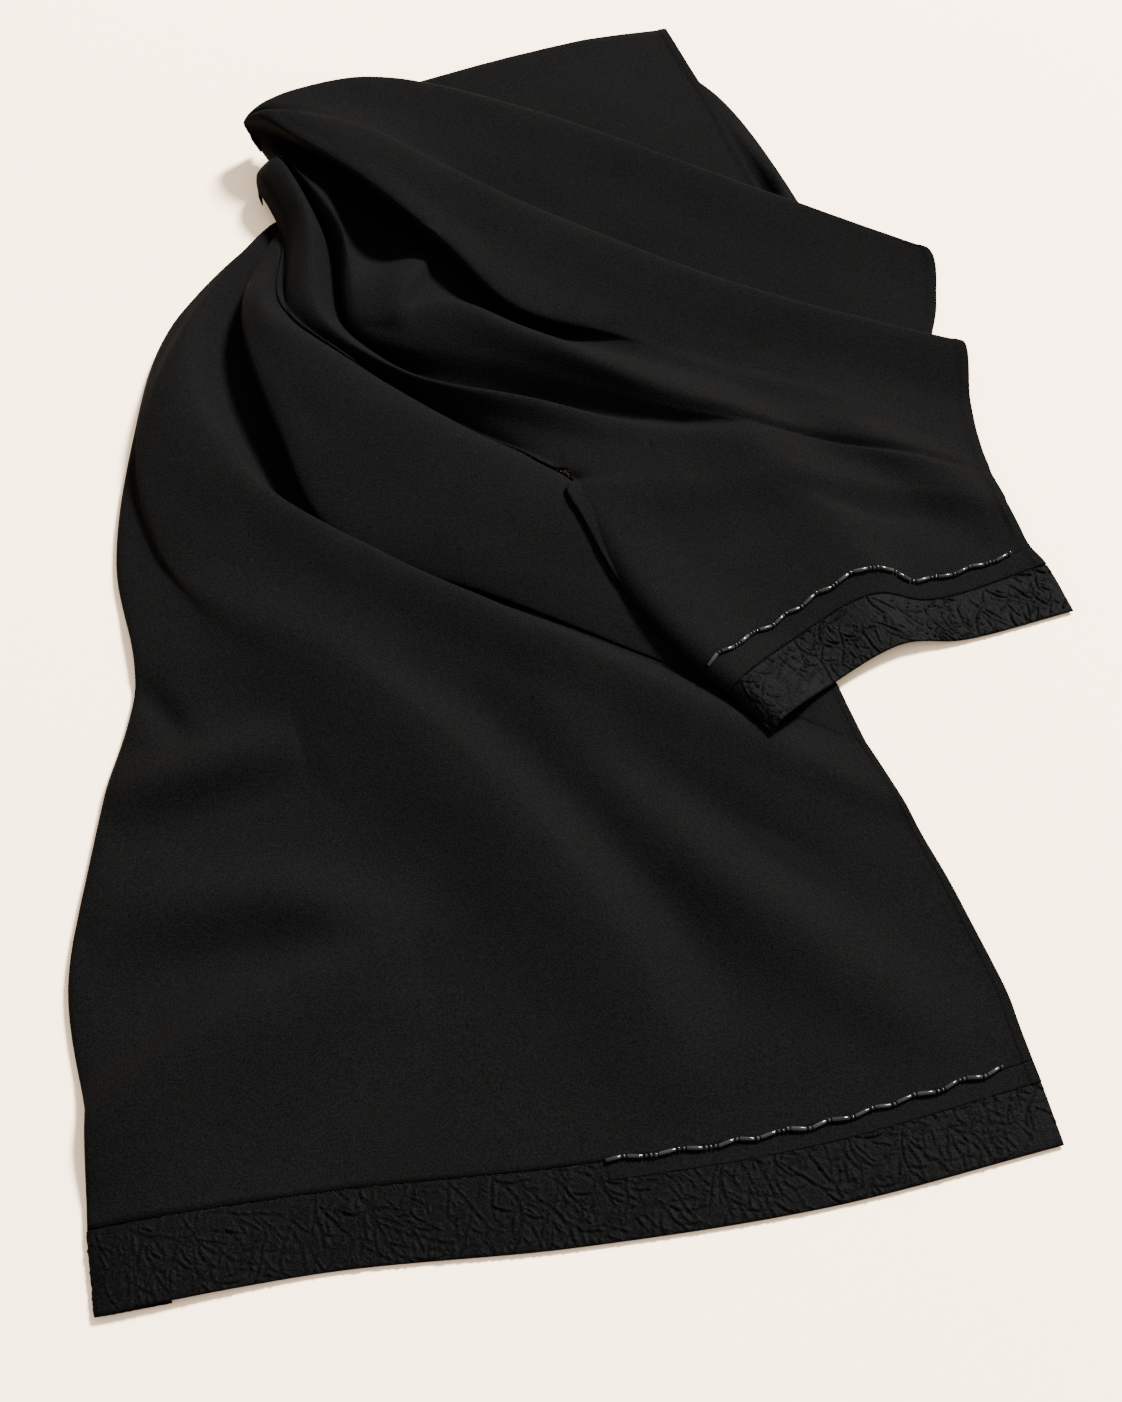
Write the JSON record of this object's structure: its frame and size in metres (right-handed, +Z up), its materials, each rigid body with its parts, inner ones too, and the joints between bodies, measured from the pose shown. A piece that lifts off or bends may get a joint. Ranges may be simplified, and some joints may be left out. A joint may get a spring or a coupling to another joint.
{
  "type": "folded abaya shawl",
  "caption": "Long black crepe shawl folded in half, gathered at one side, with crinkled end bands and beaded seams.",
  "frame": {"origin": "on the surface that the shawl lies on, under the middle of the cloth's outline", "axes": "+Z up; +Y from the lower trimmed end towards the top fold; +X towards the side hem"},
  "size_m": [0.741, 1.2206, 0.0565],
  "materials": {
    "black_crepe": "matte, fine crepe grain",
    "crinkled_band": "matte, crinkled",
    "black_glass_beads": "glossy"
  },
  "bodies": {
    "root": {"upper_panel": "black_crepe", "lower_panel": "black_crepe", "upper_plain_strip": "black_crepe", "lower_plain_strip": "black_crepe", "folded_core": "black_crepe", "upper_crinkle_band": "crinkled_band", "lower_crinkle_band": "crinkled_band", "upper_bead_row": "black_glass_beads", "lower_bead_row": "black_glass_beads"}
  },
  "joints": []
}
